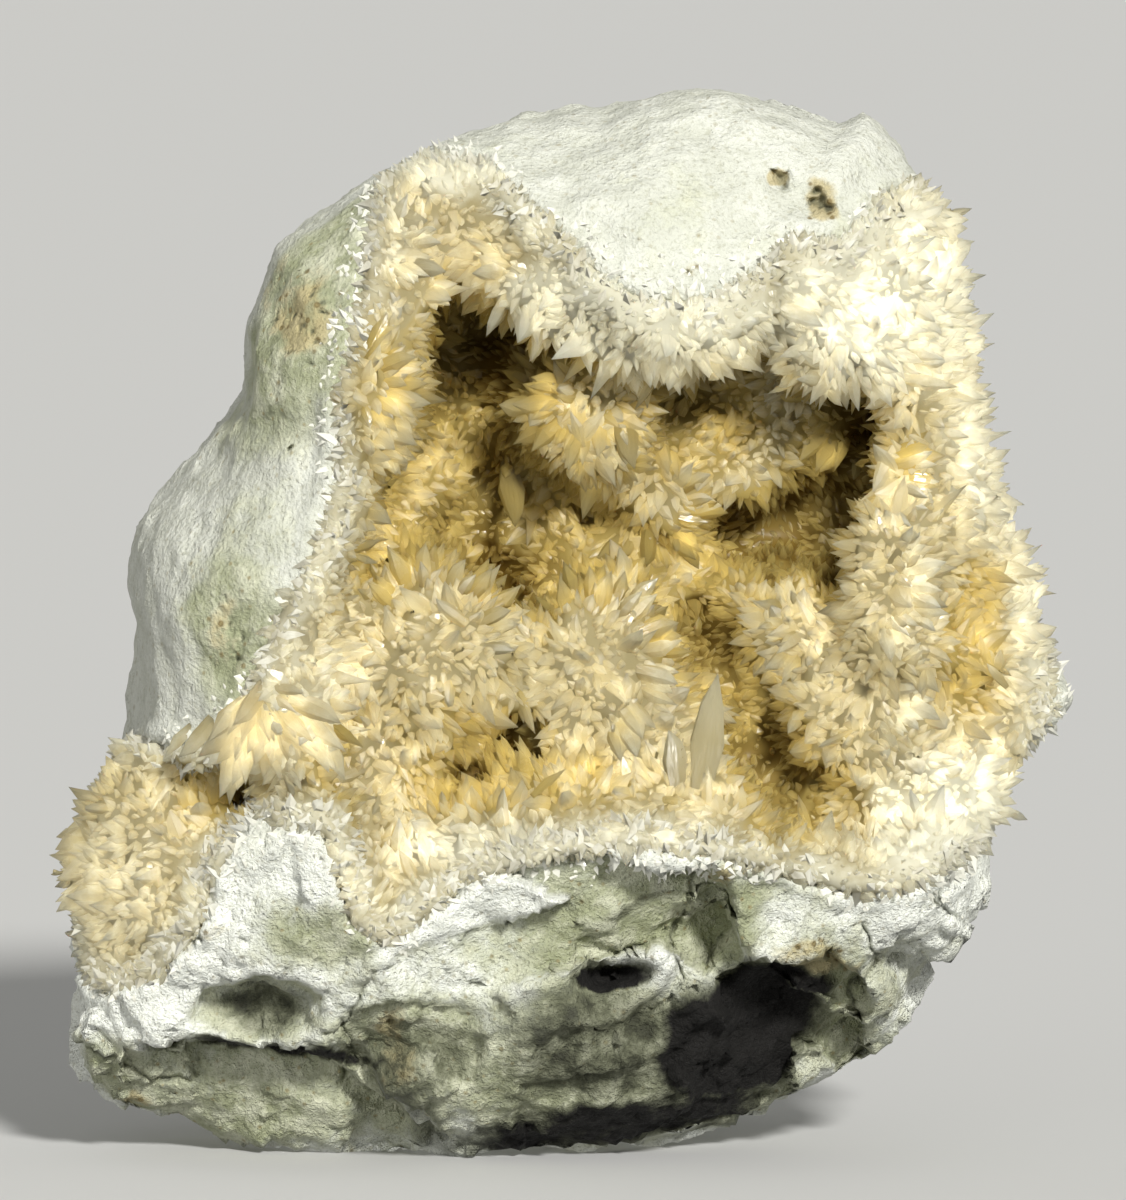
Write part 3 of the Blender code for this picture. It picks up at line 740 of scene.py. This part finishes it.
def rim_crystals(rock, ground, rock_tree, crust_places, random):
    """Small white crystals on the rock's edge beside the hollow, and on the crust's."""
    places, ways = spread_points(ground.data, GRAIN_SPACING, random)
    edge = np.array([rock_tree.find_nearest(Vector(place))[3] for place in places]) < RIM_REACH
    edge &= ~buried(places, ways, rock_tree)
    more_places, more_ways = spread_points(rock.data, GRAIN_SPACING, random)
    on_crust = np.arange(edge.sum() + len(more_places)) < edge.sum()
    places = np.concatenate([places[edge], more_places])
    ways = np.concatenate([ways[edge], more_ways])
    outside = ways[:, 1] < 0.6
    places, ways, on_crust = places[outside], ways[outside], on_crust[outside]
    beside = crust_places[nearest_in(crust_places)(places)]
    distance = np.linalg.norm(places - beside, axis=1) / MM
    sugary = patch_amount(seen_place(places), SUGARY)
    chance = (1 - smooth_step(1, 4 + 6 * sugary, distance)) * (0.7 + 0.3 * sugary)
    kept = random.random(len(places)) < chance
    places, ways, distance, on_crust = places[kept], ways[kept], distance[kept], on_crust[kept]
    count = len(places)
    axes = unit(ways + random.normal(size=(count, 3)) * 0.45)
    widening = np.where(on_crust, 1.25, 1.15 - 0.55 * smooth_step(0, 6, distance))
    width = random.uniform(1.0, 2.4, count) * widening
    length = width * random.uniform(1.3, 2.4, count)
    sunk = random.uniform(0.35, 0.65, count)
    return {
        "foot": places - axes * (length * sunk)[:, None] * MM, "axis": axes,
        "side": any_side(axes, random), "width": width * MM, "length": length * MM,
        "pallor": np.where(on_crust, 0.6, 0.95), "depth": np.full(count, 0.2), "way": ways,
        "kind": random.integers(0, 60, count),
    }


def search_tree(places):
    tree = KDTree(len(places))
    for number, place in enumerate(places):
        tree.insert(Vector(place), number)
    tree.balance()
    return tree


def nearest_in(places):
    """A function that finds the nearest of these places to each of some others."""
    tree = search_tree(places)
    return lambda others: np.array([tree.find(Vector(place))[1] for place in others])


def evened(places, values):
    """The mean of the values at each place and the places next to it."""
    tree = search_tree(places)
    groups = [[found[1] for found in tree.find_n(Vector(place), 9)] for place in places]
    return np.array([values[group].mean(axis=0) for group in groups])


def only(crystals, chosen):
    """The chosen ones of some crystals."""
    return {key: values[chosen] for key, values in crystals.items()}


def add(tree, kind, settings=None, **inputs):
    """Adds a node. An input is a value, or another node's output that runs into it."""
    made = tree.nodes.new("ShaderNode" + kind)
    for name, value in (settings or {}).items():
        setattr(made, name, value)
    for name, value in inputs.items():
        socket = made.inputs[name.replace("_", " ")]
        if isinstance(value, bpy.types.NodeSocket):
            tree.links.new(value, socket)
        else:
            socket.default_value = value
    return made


def blend(tree, share, first, second, kind="MIX"):
    """One colour blended into another by a share from 0 to 1."""
    made = tree.nodes.new("ShaderNodeMix")
    made.data_type = "RGBA"
    made.blend_type = kind
    for number, value in ((0, share), (6, first), (7, second)):
        if isinstance(value, bpy.types.NodeSocket):
            tree.links.new(value, made.inputs[number])
        else:
            made.inputs[number].default_value = value if number == 0 else (*value, 1)
    return made.outputs[2]


def mask(tree, value, low, high, least=0.0, most=1.0):
    """A share that rises as a value goes from low to high."""
    made = add(tree, "MapRange", {"interpolation_type": "SMOOTHSTEP"}, Value=value)
    for number, bound in enumerate((low, high, least, most), start=1):
        made.inputs[number].default_value = bound
    return made.outputs[0]


def sum_of(tree, first, second, kind="ADD"):
    made = tree.nodes.new("ShaderNodeMath")
    made.operation = kind
    for number, value in enumerate((first, second)):
        if isinstance(value, bpy.types.NodeSocket):
            tree.links.new(value, made.inputs[number])
        else:
            made.inputs[number].default_value = value
    return made.outputs[0]


def value_of(tree, name):
    return add(tree, "Attribute", {"attribute_name": name}).outputs["Fac"]


def new_material(name):
    made = bpy.data.materials.new(name)
    made.use_nodes = True
    return made, made.node_tree, made.node_tree.nodes["Principled BSDF"]


def rock_material():
    made, tree, shader = new_material("pale_host_rock")
    place = add(tree, "TexCoord").outputs["Object"]
    broad = add(tree, "TexNoise", Vector=place, Scale=35, Detail=4).outputs["Fac"]
    medium = add(tree, "TexNoise", Vector=place, Scale=150, Detail=6, Roughness=0.65).outputs["Fac"]
    fine = add(tree, "TexNoise", Vector=place, Scale=900, Detail=3, Roughness=0.75).outputs["Fac"]
    grains = add(tree, "TexVoronoi", Vector=place, Scale=1100).outputs["Distance"]
    pores = add(tree, "TexVoronoi", Vector=place, Scale=330, Randomness=1.0).outputs["Distance"]

    white = blend(tree, mask(tree, medium, 0.35, 0.65), *ROCK_WHITE)
    white = blend(tree, mask(tree, value_of(tree, "craggy"), 0.0, 1.0, 0.0, 0.8), white, BROKEN_WHITE)
    grey = blend(tree, mask(tree, medium, 0.38, 0.66), *GREY_GREEN)
    dull = sum_of(tree, value_of(tree, "dull"), mask(tree, broad, 0.45, 0.7, 0.0, 0.45))
    dull = sum_of(tree, dull, mask(tree, medium, 0.3, 0.7, -0.25, 0.25))
    colour = blend(tree, mask(tree, dull, 0.15, 0.85), white, grey)
    ochre = sum_of(tree, value_of(tree, "ochre"), mask(tree, medium, 0.3, 0.7, -0.35, 0.35))
    colour = blend(tree, mask(tree, ochre, 0.25, 0.9, 0.0, 0.8), colour, OCHRE_STAIN)
    grit = mask(tree, pores, 0.12, 0.3, 1.0, 0.0)
    grit = sum_of(tree, grit, mask(tree, ochre, 0.1, 0.6, 0.0, 0.9), "MULTIPLY")
    colour = blend(tree, grit, colour, RUST)
    specks = mask(tree, pores, 0.05, 0.22, 1.0, 0.0)
    specks = sum_of(tree, specks, mask(tree, dull, 0.2, 0.8, 0.35, 0.75), "MULTIPLY")
    colour = blend(tree, specks, colour, BROWN_SPECK)
    crumbs = mask(tree, fine, 0.36, 0.48, 0.3, 0.0)
    colour = blend(tree, crumbs, colour, CRUMB_SHADE, "MULTIPLY")
    # Painted shade: darker under the brows and in the pits and cracks
    painted_shade = sum_of(tree, value_of(tree, "painted_shade"), mask(tree, medium, 0.35, 0.65, 0.12, -0.2))
    colour = blend(tree, mask(tree, painted_shade, 0.1, 0.8, 0.0, 0.9), colour, PAINTED_SHADE_COLOUR)
    colour = blend(tree, mask(tree, painted_shade, 0.6, 1.1, 0.0, 0.96), colour, DEEP_SHADE)
    tree.links.new(colour, shader.inputs["Base Color"])
    tree.links.new(mask(tree, fine, 0.3, 0.7, 0.62, 0.95), shader.inputs["Roughness"])
    shader.inputs["Specular IOR Level"].default_value = 0.25

    rugged = mask(tree, value_of(tree, "craggy"), 0.0, 1.0, 0.45, 1.0)
    fine = sum_of(tree, fine, rugged, "MULTIPLY")
    low = add(tree, "Bump", Height=medium, Strength=1.0, Distance=0.0018).outputs["Normal"]
    grain = add(tree, "Bump", Height=fine, Strength=1.0, Distance=0.0010, Normal=low).outputs["Normal"]
    sugar = add(tree, "Bump", Height=grains, Strength=0.5, Distance=0.0003, Normal=grain).outputs["Normal"]
    tree.links.new(sugar, shader.inputs["Normal"])
    return made


def crystal_material(name, milky=True, clear=0.0, grown=True, white=MILKY_WHITE):
    """Crystal: light spreads inside if it is milky and passes through as far as it is clear.

    Grown crystals are streaked along their length; what isn't grown is the crust under them.
    """
    made, tree, shader = new_material(name)
    place = add(tree, "TexCoord").outputs["Object"]
    cloud = add(tree, "TexNoise", Vector=place, Scale=220, Detail=4, Roughness=0.6).outputs["Fac"]
    own = add(tree, "Attribute", {"attribute_name": "own_place"}).outputs["Vector"]
    own = add(tree, "VectorMath", {"operation": "MULTIPLY"}, Vector=own)
    own.inputs[1].default_value = (1.0, 1.0, 0.16)
    streaks = add(tree, "TexNoise", Vector=own.outputs[0], Scale=1500, Detail=2).outputs["Fac"]
    pallor, depth = value_of(tree, "pallor"), value_of(tree, "depth")
    growth, tone = value_of(tree, "growth"), value_of(tree, "tone")
    honey = blend(tree, tone, *HONEY)
    colour = blend(tree, mask(tree, growth, 0.4, 1.0, 0.0, 0.4), honey, CRYSTAL_TIP)
    pale = sum_of(tree, pallor, mask(tree, cloud, 0.35, 0.65, -0.12, 0.12))
    colour = blend(tree, mask(tree, pale, 0.1, 1.0, 0.0, 0.9), colour, white)
    # Painted shade: the less open the place and the nearer a crystal's foot, the more amber, then deep amber,
    # the colour
    hidden = sum_of(tree, depth, mask(tree, growth, 0.2, 1.0, 0.08, -0.08))
    colour = blend(tree, mask(tree, hidden, 0.3, 0.7, 0.0, 1.0), colour, PAINTED_SHADE_AMBER)
    colour = blend(tree, mask(tree, hidden, 0.72, 0.98, 0.0, 1.0), colour, PAINTED_DEEP_SHADE_AMBER)
    tree.links.new(colour, shader.inputs["Base Color"])
    rough = sum_of(tree, mask(tree, cloud, 0.3, 0.7, 0.3, 0.5), mask(tree, tone, 0.75, 1.0, 0.0, -0.22))
    tree.links.new(rough, shader.inputs["Roughness"])
    shader.inputs["IOR"].default_value = 1.59
    shader.inputs["Specular IOR Level"].default_value = 0.22 if grown else 0.1
    if milky:
        shader.subsurface_method = "BURLEY"
        shader.inputs["Subsurface Weight"].default_value = 0.75
        shader.inputs["Subsurface Radius"].default_value = (1.0, 0.9, 0.75)
        shader.inputs["Subsurface Scale"].default_value = 0.007
    shader.inputs["Transmission Weight"].default_value = clear
    bump = add(tree, "Bump", Height=streaks, Strength=0.4, Distance=0.0003)
    if grown:
        tree.links.new(softened_way(tree), bump.inputs["Normal"])
    tree.links.new(bump.outputs["Normal"], shader.inputs["Normal"])
    return made


def softened_way(tree):
    """Faces lit partly as the crust under them, which is how light inside milky crystal softens them."""
    facet = add(tree, "NewGeometry").outputs["Normal"]
    outward = add(tree, "Attribute", {"attribute_name": "outward"}).outputs["Vector"]
    scaled = add(tree, "VectorMath", {"operation": "SCALE"}, Vector=outward, Scale=1.4).outputs[0]
    total = add(tree, "VectorMath", {"operation": "ADD"})
    tree.links.new(facet, total.inputs[0])
    tree.links.new(scaled, total.inputs[1])
    return add(tree, "VectorMath", {"operation": "NORMALIZE"}, Vector=total.outputs[0]).outputs[0]


def dress(piece, material):
    piece.data.materials.clear()
    piece.data.materials.append(material)
    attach(piece, "root")


def make_stage():
    bpy.ops.mesh.primitive_plane_add(size=120)
    floor = bpy.context.object
    floor.name = "floor"
    made, _, shader = new_material("pale_floor")
    shader.inputs["Base Color"].default_value = (0.62, 0.62, 0.61, 1)
    shader.inputs["Roughness"].default_value = 0.9
    floor.data.materials.append(made)
    floor.visible_diffuse = False

    world = bpy.data.worlds.new("studio")
    bpy.context.scene.world = world
    world.use_nodes = True
    world.node_tree.nodes["Background"].inputs["Color"].default_value = (1.0, 1.0, 0.97, 1)
    world.node_tree.nodes["Background"].inputs["Strength"].default_value = 0.34

    def sun(name, place, strength, softness, colour):
        lamp = bpy.data.lights.new(name, "SUN")
        lamp.energy = strength
        lamp.angle = math.radians(softness)
        lamp.color = colour
        held = bpy.data.objects.new(name, lamp)
        held.rotation_euler = Vector(place).to_track_quat("Z", "Y").to_euler()
        bpy.context.scene.collection.objects.link(held)

    sun("key_light", (0.38, -1.0, 0.6), 3.95, 9, (1.0, 0.99, 0.96))
    sun("fill_light", (-0.9, -1.0, -0.25), 1.8, 50, (1.0, 1.0, 1.0))


def make_camera():
    lens = bpy.data.cameras.new("camera")
    lens.lens = LENS
    lens.sensor_width = 36
    lens.clip_end = 200
    camera = bpy.data.objects.new("camera", lens)
    back = Vector((0, -math.cos(LOOKING_DOWN), math.sin(LOOKING_DOWN)))
    camera.location = Vector(EYE_TARGET) + back * EYE_DISTANCE
    camera.rotation_euler = back.to_track_quat("Z", "Y").to_euler()
    bpy.context.scene.collection.objects.link(camera)
    bpy.context.scene.camera = camera


def main():
    for obj in list(bpy.data.objects):
        bpy.data.objects.remove(obj, do_unlink=True)
    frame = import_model()
    nodes = frame["nodes"]
    random = np.random.default_rng(SEED)

    rock_tree = tree_of(nodes["host_rock"].data)
    rock = make_rock(nodes["host_rock"], tree_of(nodes["crystal_crust"].data))
    ground = make_ground(nodes["crystal_crust"], rock_tree)
    ground_tree = tree_of(ground.data)

    crust = crust_crystals(ground, ground_tree, rock_tree, random)
    crust = only(crust, crust["depth"] < DEEPEST_SHOWN)
    nearest_crystal = nearest_in(crust["place"])
    singles = single_crystals((ground_tree, rock_tree), random)
    beside = nearest_crystal(singles["place"])
    # The singles take the painted shade of the crust beside them, a little deeper
    singles["depth"] = np.minimum(crust["depth"][beside] + 0.15, 0.7)
    singles["way"] = unit(crust["way"][beside] * 0.6 + singles["axis"] * 0.7)
    rim = rim_crystals(rock, ground, rock_tree, crust["place"], random)
    shapes = crystal_shapes()
    seen = seen_place(crust["place"])
    zones = {
        "left_crystals": seen[:, 0] < MIDDLE_ZONE[0],
        "middle_crystals": (seen[:, 0] >= MIDDLE_ZONE[0]) & (seen[:, 0] < MIDDLE_ZONE[1]),
        "right_crystals": seen[:, 0] >= MIDDLE_ZONE[1],
    }
    milky = crystal_material("honey_colemanite")
    sugary = crystal_material("white_colemanite", milky=False, white=SUGAR_WHITE)
    made = [(stamp(name, shapes, only(crust, chosen)), milky) for name, chosen in zones.items()]
    alone = np.arange(len(singles["width"])) < len(SINGLE_CRYSTALS)
    clear = crystal_material("clear_colemanite", clear=0.2)
    made += [
        (stamp("standing_crystals", shapes, only(singles, alone)), clear),
        (stamp("fan_crystals", shapes, only(singles, ~alone)), milky),
        (stamp("rim_crystals", shapes[-1:], rim), sugary),
    ]
    for piece, material in made:
        dress(piece, material)
        piece.visible_shadow = False

    # The ground takes the pallor of the crystals over it, and their depth, which paints shade
    places = points_of(ground.data)
    above = nearest_crystal(places)
    for name, values in (
        ("pallor", crust["pallor"][above]),
        ("depth", crust["depth"][above]),
        ("growth", np.full(len(places), 0.1)),
        ("tone", np.full(len(places), 0.4)),
    ):
        keep_values(ground.data, name, values)
    dress(ground, crystal_material("crust_ground", milky=False, grown=False))
    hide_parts("crystal_crust")
    dress(rock, rock_material())
    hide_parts("host_rock")
    for piece in (rock, ground):
        piece.data.shade_smooth()

    make_stage()
    make_camera()
    bpy.context.scene.view_settings.view_transform = "Standard"


main()
